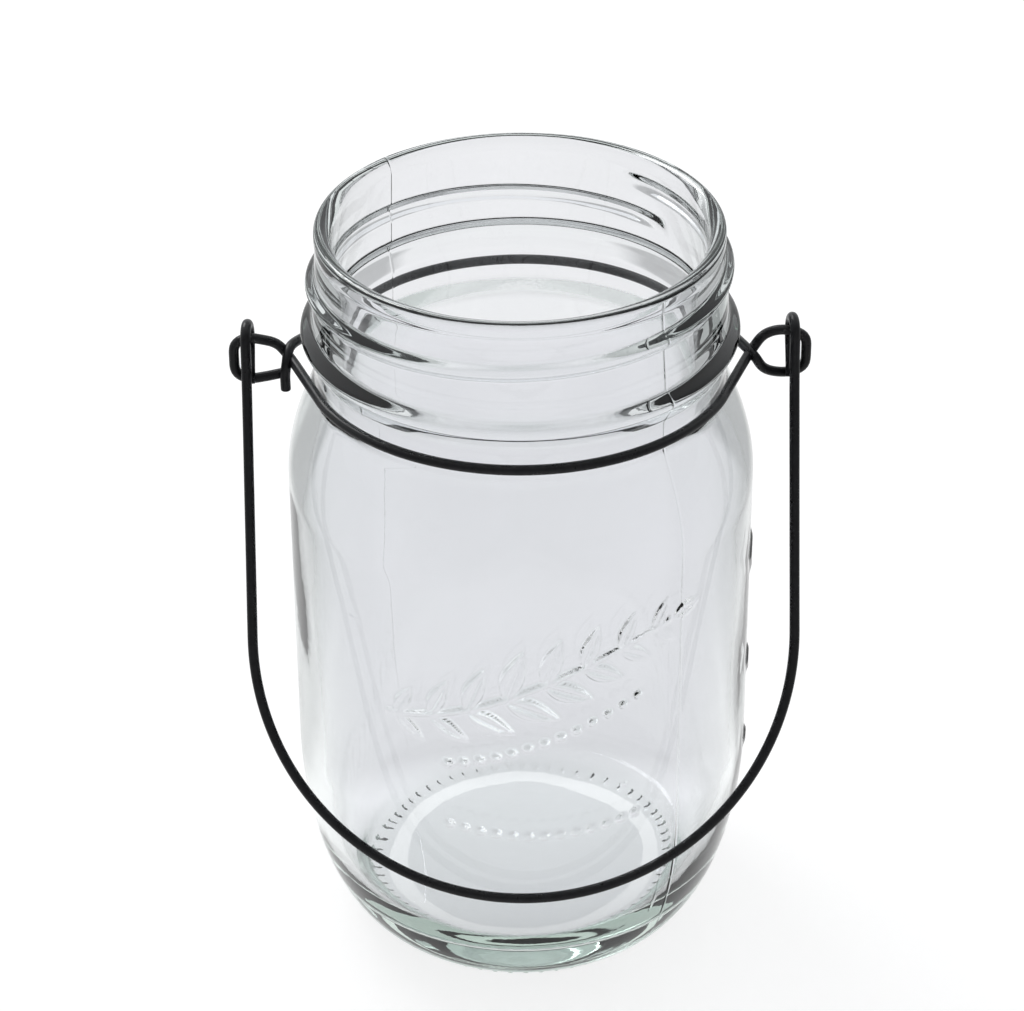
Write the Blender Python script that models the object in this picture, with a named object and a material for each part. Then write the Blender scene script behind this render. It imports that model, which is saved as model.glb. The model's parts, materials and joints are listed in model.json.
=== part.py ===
"""Pint mason jar lantern: a glass jar, a bent-wire collar round its neck and a swinging wire handle.

Frame: the jar's axis is Z, its base stands at Z = 0, and the handle's two eyes hang along X.
The handle rests against the front (-Y) of the jar. All lengths are metres.
"""
import math

import bmesh
import bpy
from mathutils import Vector

MM = 0.001

# Glass jar, outside
BODY_RADIUS = 39.0 * MM
JAR_HEIGHT = 133.4 * MM
FOOT_RADIUS = 24.9 * MM          # outer edge of the ring the jar stands on
FOOT_WIDTH = 3.4 * MM            # flat width of that ring
PUSH_UP = 1.4 * MM               # hollow under the base, inside the standing ring
HEEL_HEIGHT = 35.8 * MM          # where the rounded lower body becomes straight
SHOULDER_HEIGHT = 18.0 * MM
SHOULDER_TO_RIM = 27.4 * MM      # top of the shoulder, measured down from the rim
NECK_RADIUS = 34.0 * MM          # groove that the collar lies in
BEAD_RADIUS = 36.15 * MM         # ledge above the groove
BEAD_TO_RIM = 18.5 * MM
BEAD_ROUNDING = 1.0 * MM
BEAD_UNDERCUT = 0.8 * MM         # height of the slope under the bead
BEAD_SLOPE = 4.0 * MM            # height of the slope above it
LIP_RADIUS = 33.4 * MM           # outside of the finish at the rim
LIP_ROUNDING = 1.3 * MM

# Screw thread on the finish: one right-hand ridge, a little over one turn
THREAD_HEIGHT = 1.3 * MM
THREAD_HALF_WIDTH = 1.7 * MM
THREAD_PITCH = 6.2 * MM
THREAD_START_TO_RIM = 12.2 * MM
THREAD_START_ANGLE = math.radians(39)
THREAD_SWEEP = math.radians(378)
THREAD_RUN_OUT = math.radians(16)

# Glass jar, inside
LIP_THICKNESS = 2.8 * MM
SIDE_WALL = 3.0 * MM
FLOOR_THICKNESS = 9.5 * MM
INNER_FLOOR_RADIUS = 28.0 * MM
INNER_HEEL_HEIGHT = 27.0 * MM    # height of the curve from the floor up to the straight side

# Painted steel wire of the collar and the handle
WIRE_RADIUS = 0.85 * MM
WIRE_GAP = 0.3 * MM              # air between two strands that pass each other
NECK_GAP = 0.55 * MM             # air between the neck and the collar
COLLAR_BELOW_BEAD = 6.4 * MM
COLLAR_HUG = 0.7                 # the ring leaves the neck at this share of the tangent's angle
LOOP_LIFT = 0.5 * MM             # the side loops' middle above the collar's ring
LOOP_HALF_HEIGHT = 3.8 * MM
LOOP_DEPTH = 6.5 * MM            # from the crossing of the strands to the handle's leg
LOOP_SIDE_GAP = 0.45 * MM        # air between the handle's leg and the loop's far side
TAIL_LENGTH = 5.6 * MM           # straight end that closes the collar, below the crossing
HANDLE_SIDE_GAP = 5.2 * MM       # air between the jar's side and the handle's leg
HANDLE_REST_HEIGHT = 26.5 * MM   # height of the handle's lowest point when it rests
HANDLE_REST_GAP = 0.3 * MM
EYE_GAP = 0.7 * MM               # air between the eye and the loop strand it hangs on
EYE_TAIL_GAP = 0.5 * MM          # air between the eye's end and the loop's lower strand
EYE_LENGTH = 7.5 * MM            # from the pivot to the end of the eye's wire
EYE_TWIST = 0.45 * MM            # how far the eye's end lies inward of the leg

# Fineness of the meshes
JAR_SEGMENTS = 72
THREAD_ROW = 0.6 * MM
HEEL_STEPS = 10
SHOULDER_STEPS = 9
PUSH_UP_STEPS = 3
SHARP_EDGE = math.radians(40)
WIRE_BEVEL_RESOLUTION = 3
WIRE_TURN = math.radians(8)      # bend of the wire between two of its rings
ARCH_STEPS = 30
ROUTE_STEP = 0.2 * MM

GLASS = (0.86, 0.90, 0.88, 1.0)
BLACK_PAINT = (0.012, 0.012, 0.014, 1.0)

# Heights and radii that follow from the sizes above
SHOULDER_TOP = JAR_HEIGHT - SHOULDER_TO_RIM
SHOULDER_BASE = SHOULDER_TOP - SHOULDER_HEIGHT
BEAD_Z = JAR_HEIGHT - BEAD_TO_RIM
MOUTH_RADIUS = LIP_RADIUS - LIP_THICKNESS
STRAND_SPACING = 2 * WIRE_RADIUS + WIRE_GAP
RING_RADIUS = NECK_RADIUS + NECK_GAP + WIRE_RADIUS
RING_Z = BEAD_Z - COLLAR_BELOW_BEAD
LOOP_Z = RING_Z + LOOP_LIFT
LEG_X = BODY_RADIUS + HANDLE_SIDE_GAP + WIRE_RADIUS
CROSSING_X = LEG_X - LOOP_DEPTH
LOOP_REACH = 2 * WIRE_RADIUS + LOOP_SIDE_GAP
PIVOT_Z = LOOP_Z + LOOP_HALF_HEIGHT
EYE_RADIUS = 2 * WIRE_RADIUS + EYE_GAP


def clear_scene():
    for item in list(bpy.data.objects):
        bpy.data.objects.remove(item, do_unlink=True)


def make_material(name, color, roughness, metallic, transmission=0.0):
    material = bpy.data.materials.new(name)
    material.use_nodes = True
    shader = material.node_tree.nodes["Principled BSDF"]
    shader.inputs["Base Color"].default_value = color
    shader.inputs["Roughness"].default_value = roughness
    shader.inputs["Metallic"].default_value = metallic
    shader.inputs["Transmission Weight"].default_value = transmission
    return material


def arc(center_r, center_z, radius, start_deg, end_deg, steps):
    """Points (r, z) on a circular arc in the profile plane."""
    points = []
    for i in range(steps + 1):
        angle = math.radians(start_deg + (end_deg - start_deg) * i / steps)
        points.append((center_r + radius * math.cos(angle), center_z + radius * math.sin(angle)))
    return points


def heel(foot_r, foot_z, side_r, side_z, steps):
    """Quarter ellipse from the foot, where it is level, up to the side, where it is upright."""
    points = []
    for i in range(steps + 1):
        angle = math.pi / 2 * i / steps
        r = foot_r + (side_r - foot_r) * math.sin(angle)
        z = side_z - (side_z - foot_z) * math.cos(angle)
        points.append((r, z))
    return points


def shoulder(base_r, base_z, top_r, top_z, steps):
    """Sine curve from the upright side in to the neck."""
    points = []
    for i in range(steps + 1):
        share = i / steps
        r = top_r + (base_r - top_r) * math.sin(math.pi / 2 * (1 - share))
        points.append((r, base_z + (top_z - base_z) * share))
    return points


def outer_radius(z):
    """Outside radius of the lower body at a height."""
    if z >= HEEL_HEIGHT:
        return BODY_RADIUS
    share = (HEEL_HEIGHT - z) / HEEL_HEIGHT
    return FOOT_RADIUS + (BODY_RADIUS - FOOT_RADIUS) * math.sqrt(1 - share * share)


def push_up(edge_r, edge_z, steps):
    """Shallow dome in the middle of the base, from its crown out to its edge."""
    shares = [i / steps for i in range(steps + 1)]
    return [(edge_r * share, edge_z + PUSH_UP * (1 - share * share)) for share in shares]


def outside_profile():
    """Jar's outside from the middle of the base up to the crown of the lip."""
    points = push_up(FOOT_RADIUS - FOOT_WIDTH, 0.0, PUSH_UP_STEPS)
    points += heel(FOOT_RADIUS, 0.0, BODY_RADIUS, HEEL_HEIGHT, HEEL_STEPS)
    points += shoulder(BODY_RADIUS, SHOULDER_BASE, NECK_RADIUS, SHOULDER_TOP, SHOULDER_STEPS)
    bead_center = BEAD_RADIUS - BEAD_ROUNDING
    points += [(NECK_RADIUS, BEAD_Z - BEAD_ROUNDING - BEAD_UNDERCUT)]
    points += arc(bead_center, BEAD_Z, BEAD_ROUNDING, -55, 55, 4)
    wall_base = BEAD_Z + BEAD_ROUNDING + BEAD_SLOPE
    wall_top = JAR_HEIGHT - 2 * LIP_ROUNDING
    rows = math.ceil((wall_top - wall_base) / THREAD_ROW)
    points += [(finish_radius(wall_base + (wall_top - wall_base) * i / rows),
                wall_base + (wall_top - wall_base) * i / rows) for i in range(rows + 1)]
    points += arc(LIP_RADIUS - LIP_ROUNDING, JAR_HEIGHT - LIP_ROUNDING, LIP_ROUNDING, 0, 90, 3)
    return points


def finish_radius(z):
    """The threaded wall tapers slightly from the bead's slope to the lip."""
    base = BEAD_Z + BEAD_ROUNDING + BEAD_SLOPE
    share = (z - base) / (JAR_HEIGHT - base)
    wall_at_base = (BEAD_RADIUS + LIP_RADIUS) / 2 - BEAD_ROUNDING / 2
    return wall_at_base + (LIP_RADIUS - wall_at_base) * share


def inside_profile():
    """Jar's inside from the crown of the lip down to the middle of the floor."""
    points = arc(MOUTH_RADIUS + LIP_ROUNDING, JAR_HEIGHT - LIP_ROUNDING, LIP_ROUNDING, 90, 180, 3)
    points += [(MOUTH_RADIUS, BEAD_Z)]
    inner_body = BODY_RADIUS - SIDE_WALL
    inner_neck = NECK_RADIUS - SIDE_WALL
    low, high = SHOULDER_BASE - SIDE_WALL, SHOULDER_TOP - SIDE_WALL
    points += reversed(shoulder(inner_body, low, inner_neck, high, SHOULDER_STEPS))
    low, high = FLOOR_THICKNESS, INNER_HEEL_HEIGHT + FLOOR_THICKNESS
    points += reversed(heel(INNER_FLOOR_RADIUS, low, inner_body, high, HEEL_STEPS))
    points += reversed(push_up(INNER_FLOOR_RADIUS, FLOOR_THICKNESS, PUSH_UP_STEPS)[:-1])
    return points


def thread_rise(angle, z):
    """How far the screw thread stands out of the finish at an angle and a height."""
    rise = 0.0
    for turn in (0, 1):
        along = (angle - THREAD_START_ANGLE) % (2 * math.pi) + 2 * math.pi * turn
        if along > THREAD_SWEEP:
            continue
        ridge_z = JAR_HEIGHT - THREAD_START_TO_RIM + THREAD_PITCH * along / (2 * math.pi)
        across = abs(z - ridge_z) / THREAD_HALF_WIDTH
        if across >= 1:
            continue
        ends = min(along, THREAD_SWEEP - along) / THREAD_RUN_OUT
        fade = math.sin(math.pi / 2 * min(1.0, ends))
        rise = max(rise, THREAD_HEIGHT * fade * math.cos(math.pi / 2 * across))
    return rise


def make_jar():
    outside = outside_profile()
    profile = outside + inside_profile()[1:]
    mesh = bmesh.new()
    rows = []
    for index, (radius, z) in enumerate(profile):
        if radius == 0.0:
            rows.append([mesh.verts.new((0, 0, z))])
            continue
        row = []
        for k in range(JAR_SEGMENTS):
            angle = 2 * math.pi * k / JAR_SEGMENTS
            r = radius + (thread_rise(angle, z) if index < len(outside) else 0.0)
            row.append(mesh.verts.new((r * math.cos(angle), r * math.sin(angle), z)))
        rows.append(row)
    for low, high in zip(rows[:-1], rows[1:]):
        for k in range(JAR_SEGMENTS):
            n = (k + 1) % JAR_SEGMENTS
            if len(low) == 1:
                mesh.faces.new((low[0], high[n], high[k]))
            elif len(high) == 1:
                mesh.faces.new((low[k], low[n], high[0]))
            else:
                mesh.faces.new((low[k], low[n], high[n], high[k]))
    bmesh.ops.recalc_face_normals(mesh, faces=mesh.faces)
    data = bpy.data.meshes.new("glass_jar")
    mesh.to_mesh(data)
    mesh.free()
    data.shade_smooth()
    data.set_sharp_from_angle(angle=SHARP_EDGE)
    jar = bpy.data.objects.new("glass_jar", data)
    data.materials.append(make_material("jar_glass", GLASS, 0.03, 0.0, 1.0))
    bpy.context.scene.collection.objects.link(jar)
    return jar


def smooth_route(points):
    """Centripetal Catmull-Rom curve through the points, in short steps."""
    first = points[0] * 2 - points[1]
    last = points[-1] * 2 - points[-2]
    padded = [first] + points + [last]
    route = [points[0]]
    for a, b, c, d in zip(padded, padded[1:], padded[2:], padded[3:]):
        ta = 0.0
        tb = ta + math.sqrt((b - a).length)
        tc = tb + math.sqrt((c - b).length)
        td = tc + math.sqrt((d - c).length)
        steps = max(1, math.ceil((c - b).length / ROUTE_STEP))
        for i in range(1, steps + 1):
            t = tb + (tc - tb) * i / steps
            ab = a.lerp(b, (t - ta) / (tb - ta))
            bc = b.lerp(c, (t - tb) / (tc - tb))
            cd = c.lerp(d, (t - tc) / (td - tc))
            abc = ab.lerp(bc, (t - ta) / (tc - ta))
            bcd = bc.lerp(cd, (t - tb) / (td - tb))
            route.append(abc.lerp(bcd, (t - tb) / (tc - tb)))
    return route


def thin_out(route):
    """Keep the points where the wire has bent by WIRE_TURN since the last one kept."""
    kept = [route[0]]
    turned = 0.0
    for before, here, after in zip(route, route[1:], route[2:]):
        turned += (here - before).angle(after - here)
        if turned >= WIRE_TURN:
            kept.append(here)
            turned = 0.0
    return kept + [route[-1]]


def make_wire(name, route, origin, material):
    """Round wire along a route, as a bevelled curve with closed ends."""
    curve = bpy.data.curves.new(name, "CURVE")
    curve.dimensions = "3D"
    curve.bevel_depth = WIRE_RADIUS
    curve.bevel_resolution = WIRE_BEVEL_RESOLUTION
    curve.use_fill_caps = True
    spline = curve.splines.new("POLY")
    spline.points.add(len(route) - 1)
    for point, place in zip(spline.points, route):
        point.co = (*(place - origin), 1.0)
    curve.materials.append(material)
    wire = bpy.data.objects.new(name, curve)
    wire.location = origin
    bpy.context.scene.collection.objects.link(wire)
    return wire


def ring_arc(start_deg, end_deg):
    """Points of the collar's ring between two angles from +X."""
    steps = max(2, round(abs(end_deg - start_deg) / 10))
    points = []
    for i in range(steps + 1):
        angle = math.radians(start_deg + (end_deg - start_deg) * i / steps)
        points.append(Vector((RING_RADIUS * math.cos(angle), RING_RADIUS * math.sin(angle), RING_Z)))
    return points


def loop_points(side, closing):
    """Side loop, from its upper strand over the far side to its lower strand.

    The upper strand starts behind the crossing (+Y). The lower strand ends in front of it (-Y),
    or behind the closing tail where the wire ends there.
    """
    behind = STRAND_SPACING / 2
    low_y = behind if closing else -behind
    corner = LOOP_REACH * 0.88
    half = LOOP_HALF_HEIGHT
    rise = 0.85 if closing else 1.0
    points = [
        (-LOOP_DEPTH, behind, half * 0.05),
        (-LOOP_DEPTH * 0.75, behind * 0.8, half * 0.7 * rise),
        (-LOOP_DEPTH * 0.4, behind * 0.3, half * 1.02 * rise),
        (0.0, 0.0, half),
        (corner, 0.0, half * 0.7),
        (LOOP_REACH, 0.0, 0.0),
        (corner, 0.0, -half * 0.7),
        (0.0, 0.0, -half),
        (-LOOP_DEPTH * 0.4, low_y * 0.3, -half * 0.98),
    ]
    if closing:
        points += [(-LOOP_DEPTH * 0.86, low_y * 0.9, -half * 0.9)]
    else:
        points += [(-LOOP_DEPTH * 0.75, low_y * 0.8, -half * 0.7), (-LOOP_DEPTH, low_y, -half * 0.05)]
    return [Vector((side * (LEG_X + x), y, LOOP_Z + z)) for x, y, z in points]


def collar_route():
    """One wire: closing tail, back of the ring, right loop, front of the ring, left loop."""
    leave = COLLAR_HUG * math.degrees(math.acos(RING_RADIUS / CROSSING_X))
    in_front = -STRAND_SPACING / 2 - WIRE_GAP / 2
    crossing_z = LOOP_Z + WIRE_GAP
    tail = [
        Vector((-CROSSING_X - WIRE_GAP, in_front, crossing_z - TAIL_LENGTH)),
        Vector((-CROSSING_X - WIRE_GAP, in_front, crossing_z - TAIL_LENGTH / 2)),
        Vector((-CROSSING_X, in_front, crossing_z - WIRE_RADIUS)),
        Vector((-CROSSING_X + WIRE_RADIUS / 2, -in_front, crossing_z + WIRE_RADIUS)),
    ]
    back = ring_arc(180 - leave, leave)
    front = ring_arc(-leave, leave - 180)
    lower_to_back = list(reversed(loop_points(1, closing=False)))
    points = tail + back + lower_to_back + front + loop_points(-1, closing=True)
    return thin_out(smooth_route(points))


def handle_pose():
    """How the handle lies when its lowest point rests on the jar.

    Returns its lean from straight down, the distance from the pivot to the middle of its bend
    along the legs, and how far in front of the pivot and behind it the legs and the eyes' ends lie.
    """
    rest_y = outer_radius(HANDLE_REST_HEIGHT) + HANDLE_REST_GAP + WIRE_RADIUS
    drop = PIVOT_Z - HANDLE_REST_HEIGHT
    reach = math.hypot(rest_y, drop)
    low_strand_behind = 2 * LOOP_HALF_HEIGHT * rest_y / reach
    end_behind = low_strand_behind - 2 * WIRE_RADIUS - EYE_TAIL_GAP
    leg_in_front = STRAND_SPACING - end_behind
    lean = math.atan2(rest_y, drop) - math.asin(leg_in_front / reach)
    length = math.sqrt(reach * reach - leg_in_front * leg_in_front)
    return lean, length, leg_in_front, end_behind


def handle_route():
    """One wire: left eye, left leg, round bottom, right leg, right eye."""
    lean, length, leg_in_front, end_behind = handle_pose()
    down = Vector((0, -math.sin(lean), -math.cos(lean)))
    back = Vector((0, math.cos(lean), -math.sin(lean)))
    pivot = Vector((0, 0, PIVOT_Z))

    def place(x, along, across):
        return pivot + Vector((x, 0, 0)) + down * along + back * across

    points = []
    for side in (-1, 1):
        eye = [
            place(side * (LEG_X - EYE_TWIST), EYE_LENGTH, end_behind),
            place(side * (LEG_X - EYE_TWIST), EYE_LENGTH * 0.6, end_behind + EYE_RADIUS * 0.2),
        ]
        for degrees in range(90, -91, -30):
            turn = math.radians(degrees)
            x = LEG_X - EYE_TWIST * (1 + math.sin(turn)) / 2
            eye.append(place(side * x, -EYE_RADIUS * math.cos(turn), EYE_RADIUS * math.sin(turn)))
        eye.append(place(side * LEG_X, EYE_LENGTH * 0.6, -leg_in_front - EYE_RADIUS * 0.25))
        eye.append(place(side * LEG_X, EYE_LENGTH * 1.3, -leg_in_front))
        points.append(eye)
    left, right = points
    bend_start = length - LEG_X
    arch = []
    for i in range(ARCH_STEPS + 1):
        turn = math.pi * (i / ARCH_STEPS - 0.5)
        arch.append(place(LEG_X * math.sin(turn), bend_start + LEG_X * math.cos(turn), -leg_in_front))
    return thin_out(smooth_route(left)) + arch + list(reversed(thin_out(smooth_route(right))))


def make_collar(paint):
    ring_center = Vector((0, 0, RING_Z))
    return make_wire("neck_collar_wire", collar_route(), ring_center, paint)


def make_handle(paint):
    pivot = Vector((0, 0, PIVOT_Z))
    return make_wire("handle_wire", handle_route(), pivot, paint)


def main():
    clear_scene()
    jar = make_jar()
    collar_turn = bpy.data.objects.new("collar_turn", None)
    handle_pivot = bpy.data.objects.new("handle_pivot", None)
    for empty in (collar_turn, handle_pivot):
        bpy.context.scene.collection.objects.link(empty)
    collar = make_collar(make_material("collar_paint", BLACK_PAINT, 0.35, 0.0))
    handle = make_handle(make_material("handle_paint", BLACK_PAINT, 0.35, 0.0))
    collar_turn.location = (0, 0, RING_Z)
    collar_turn.parent = jar
    handle_pivot.location = (0, 0, PIVOT_Z - RING_Z)
    handle_pivot.parent = collar_turn
    collar.location = (0, 0, 0)
    collar.parent = collar_turn
    handle.location = (0, 0, 0)
    handle.parent = handle_pivot


main()
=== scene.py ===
"""Looks of the pint mason jar lantern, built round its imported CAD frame.

Frame: the jar's axis is Z, it stands on Z = 0, the handle's pivot runs along X and the handle
rests against the front (-Y). Lengths are metres, angles are radians unless their name says deg.
"""
import json
import math

import bpy
import numpy as np
from mathutils import Matrix, Vector


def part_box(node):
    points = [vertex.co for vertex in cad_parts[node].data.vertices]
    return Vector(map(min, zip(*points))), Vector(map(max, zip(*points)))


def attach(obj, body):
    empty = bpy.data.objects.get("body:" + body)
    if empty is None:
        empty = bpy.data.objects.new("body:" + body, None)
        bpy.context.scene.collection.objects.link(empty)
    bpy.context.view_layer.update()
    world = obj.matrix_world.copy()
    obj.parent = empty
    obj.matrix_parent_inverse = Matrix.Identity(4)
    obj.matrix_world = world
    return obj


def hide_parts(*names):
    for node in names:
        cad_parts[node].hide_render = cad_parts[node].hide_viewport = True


MM = 0.001
TURN = 2 * math.pi

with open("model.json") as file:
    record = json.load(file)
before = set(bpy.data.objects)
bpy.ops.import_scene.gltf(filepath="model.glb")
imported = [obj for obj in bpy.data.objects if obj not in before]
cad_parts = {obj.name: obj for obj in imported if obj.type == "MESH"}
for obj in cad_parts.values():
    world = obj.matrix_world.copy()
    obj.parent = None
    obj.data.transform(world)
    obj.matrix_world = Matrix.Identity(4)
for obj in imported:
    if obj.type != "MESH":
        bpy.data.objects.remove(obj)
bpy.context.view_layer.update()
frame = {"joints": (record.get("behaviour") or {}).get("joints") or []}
jar_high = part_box("glass_jar")[1]
collar_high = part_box("neck_collar_wire")[1]
joints = {joint["name"]: joint for joint in frame["joints"]}

# ---------------------------------------------------------------- jar, outside
JAR_HEIGHT = jar_high.z
BODY_RADIUS = jar_high.x
FOOT_RADIUS = 24.9 * MM
FOOT_WIDTH = 3.4 * MM
PUSH_UP = 1.4 * MM
HEEL_HEIGHT = 35.8 * MM
SHOULDER_HEIGHT = 18.0 * MM
SHOULDER_TOP = JAR_HEIGHT - 27.4 * MM
SHOULDER_BASE = SHOULDER_TOP - SHOULDER_HEIGHT
NECK_RADIUS = 34.0 * MM
BEAD_RADIUS = 36.15 * MM
BEAD_Z = JAR_HEIGHT - 18.5 * MM
BEAD_ROUNDING = 1.0 * MM
BEAD_UNDERCUT = 2.8 * MM          # height of the cone under the bead
BEAD_SLOPE = 1.2 * MM             # height of the cone over it
LIP_RADIUS = 33.4 * MM
LIP_OUTER_ROUNDING = 0.9 * MM
LIP_INNER_ROUNDING = (1.8 * MM, 2.2 * MM)   # across and down
LIP_ROLL_HEIGHT = 2.3 * MM       # the lip stands a little proud of the wall below it
LIP_ROLL = 0.22 * MM
EDGE_SOFTNESS = 0.28 * MM        # how far moulded edges are rounded

# ---------------------------------------------------------------- jar, screw thread
THREAD_HEIGHT = 1.3 * MM
THREAD_HALF_WIDTH = 1.7 * MM
THREAD_PITCH = 6.2 * MM
THREAD_START_TO_RIM = 12.2 * MM
THREAD_START_ANGLE = math.radians(39)
THREAD_SWEEP = math.radians(378)
THREAD_RUN_OUT = math.radians(16)

# ---------------------------------------------------------------- jar, inside
LIP_THICKNESS = 2.8 * MM
MOUTH_RADIUS = LIP_RADIUS - LIP_THICKNESS
SIDE_WALL = 3.0 * MM
FLOOR_THICKNESS = 9.5 * MM
INNER_FLOOR_RADIUS = 28.0 * MM
INNER_HEEL_HEIGHT = 27.0 * MM
WALL_SHIFT = 0.4 * MM            # the hollow sits this far to +X, so the walls are uneven
INSIDE_WAVES = 0.09 * MM
OUTSIDE_WAVES = 0.025 * MM
LIP_WAVES = 0.05 * MM

# ---------------------------------------------------------------- wire
WIRE_RADIUS = 0.85 * MM
WIRE_GAP = 0.3 * MM
COLLAR_HUG = 0.7
RING_RADIUS = NECK_RADIUS + 0.55 * MM + WIRE_RADIUS
RING_Z = joints["collar_turn"]["pos_m"][2]
PIVOT_Z = joints["handle_swing"]["pos_m"][2]
STRAND_SPACING = 2 * WIRE_RADIUS + WIRE_GAP
LOOP_HALF_HEIGHT = 3.8 * MM
LOOP_Z = PIVOT_Z - LOOP_HALF_HEIGHT
LOOP_REACH = 2 * WIRE_RADIUS + 0.45 * MM
LEG_X = collar_high.x - WIRE_RADIUS - LOOP_REACH
LOOP_DEPTH = 6.5 * MM
CROSSING_X = LEG_X - LOOP_DEPTH
TAIL_LENGTH = 5.6 * MM
HANDLE_REST_HEIGHT = 26.5 * MM
HANDLE_REST_GAP = 0.3 * MM
EYE_RADIUS = 2 * WIRE_RADIUS + 0.7 * MM
EYE_TAIL_GAP = 0.5 * MM
EYE_LENGTH = 7.5 * MM
EYE_TWIST = 0.45 * MM
ROUTE_STEP = 0.2 * MM
TUBE_STEP = 0.55 * MM
TUBE_SIDES = 20
END_CHAMFER = 0.16 * MM
WIRE_WAVES = ((0.006, 7.3 * MM), (0.004, 2.9 * MM))   # share of the radius, and over what length

# ---------------------------------------------------------------- decoration, raised in the glass
FRONT_DEG = 270
ORNAMENT_HEIGHT = 0.8 * MM
SPRIG_START, SPRIG_END = -25 * MM, 26 * MM
SPRIG_FADE = 0.6                  # how much flatter its two ends are than its middle
SPRIG_FADE_FROM, SPRIG_FADE_TO = 8 * MM, 24 * MM
STEM_HALF_WIDTH = 0.42 * MM
STEM_SLOPE = 0.45
LEAF_PAIRS = 8
LEAF_LENGTH, LEAF_WIDTH = 10.5 * MM, 4.2 * MM
LEAF_SPREAD = math.radians(48)
TIP_LENGTH, TIP_WIDTH = 6 * MM, 3.2 * MM
BEADS_PER_ROW = 13
BEAD_ROW_START, BEAD_ROW_LENGTH = -13, 32             # mm along the front
UPPER_BEAD_HEIGHT, UPPER_BEAD_RADIUS = 0.9, 0.85 * MM  # height as a share of the ornament's
LOWER_BEAD_HEIGHT, LOWER_BEAD_RADIUS = 0.5, 0.95 * MM
PAD_DEG = 354
PAD_HEIGHT = 0.45                 # share of the ornament's
PADS_MM = ((72.5, 5.0, 3.4), (50.5, 3.4, 2.6), (34.0, 2.4, 2.0))   # middle, half height, half width
BLISTER_HEIGHT = 0.12 * MM
BLISTERS_MM = (                   # place along the front, height, size
    (-1.6, 90.2, 0.5), (8.2, 90.0, 0.35), (-31.0, 76.0, 0.45),
    (6.0, 101.0, 0.3), (13.5, 96.5, 0.4), (17.0, 47.0, 0.35),
)
SEAM_ANGLES_DEG = (131.0, 311.0)
SEAM_HEIGHT = 0.08 * MM
SEAM_HALF_WIDTH = 0.22 * MM
KNURL_COUNT = 64
KNURL_HEIGHT = 0.5 * MM
KNURL_INNER = 25.4 * MM
KNURL_OUTER = 28.2 * MM

# ---------------------------------------------------------------- how closely the jar is meshed
FEW_DEG, PLAIN_DEG, SMOOTH_DEG, BODY_DEG, NECK_DEG = 7.5, 2.5, 1.25, 1.25, 1.5
KNURL_COLUMNS = 8                 # to each bar and its gap
FRONT_FINE = (FRONT_DEG, 44, 0.45)                    # middle, half width, step: all degrees
PAD_FINE = (PAD_DEG, 6.5, 0.6)
SEAM_FINE = (1.2, 0.15)           # half width, step
RING_STEPS_MM = ((33, 1.1), (86.5, 0.32), (104, 0.8), (math.inf, 0.3))   # up to a height, step
HEEL_TURNS_DEG = (17.5, 30, 3)    # rings between the knurls and the body: first, limit, step
BODY_START_DEG = 32
INSIDE_RINGS = 100
INSIDE_END_DEG = 24               # where the inside wall's even rings give way to the floor's bend
FLOOR_BEND_DEG = (20, 0, -4)


# ================================================================ helpers for shapes
def smoothstep(low, high, x):
    t = np.clip((x - low) / (high - low), 0.0, 1.0)
    return t * t * (3 - 2 * t)


def arc(center_r, center_z, radius, start_deg, end_deg, steps):
    """Points (r, z) on a circular arc in the profile plane."""
    angles = np.radians(np.linspace(start_deg, end_deg, steps + 1))
    return [(center_r + radius * math.cos(a), center_z + radius * math.sin(a)) for a in angles]


def angle_from(angle, middle_deg):
    """Signed angle from a bearing, in radians, between minus and plus half a turn."""
    return (angle - math.radians(middle_deg) + math.pi) % TURN - math.pi


def columns(step_deg, fine=()):
    """Angles round the jar, step_deg apart, and closer inside each (middle, half width, step)."""
    angles = [0.0]
    while angles[-1] < 360.0:
        here = angles[-1]
        step = step_deg
        for middle, half_width, close in fine:
            ahead = (middle - half_width - here) % 360.0
            inside = (here - middle + half_width) % 360.0 < 2 * half_width
            step = min(step, close if inside else max(close, ahead))
        angles.append(here + step)
    return np.radians(np.array(angles[:-1]) * 360.0 / angles[-1])


def stitch(faces, low, low_angles, high, high_angles):
    """Faces between two rings of vertices, whose columns may differ. Both start at angle 0."""
    n, m = len(low), len(high)
    if n == m and np.allclose(low_angles, high_angles):
        faces += [(low[k], low[(k + 1) % n], high[(k + 1) % n], high[k]) for k in range(n)]
        return
    next_low = list(low_angles[1:]) + [TURN]
    next_high = list(high_angles[1:]) + [TURN]
    i = j = 0
    while i < n or j < m:
        if j == m or (i < n and next_low[i] <= next_high[j]):
            faces.append((low[i % n], low[(i + 1) % n], high[j % m]))
            i += 1
        else:
            faces.append((low[i % n], high[(j + 1) % m], high[j % m]))
            j += 1


# ================================================================ the jar
def straight_side_radius(z):
    """Outside radius of the heel and the body at each height."""
    share = np.clip((HEEL_HEIGHT - z) / HEEL_HEIGHT, 0.0, 1.0)
    return FOOT_RADIUS + (BODY_RADIUS - FOOT_RADIUS) * np.sqrt(1 - share * share)


def shoulder_radius(z, low_z, high_z, low_r, high_r):
    """Sine curve from the upright side in to the neck."""
    share = np.clip((z - low_z) / (high_z - low_z), 0.0, 1.0)
    return high_r + (low_r - high_r) * np.sin(math.pi / 2 * (1 - share))


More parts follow.
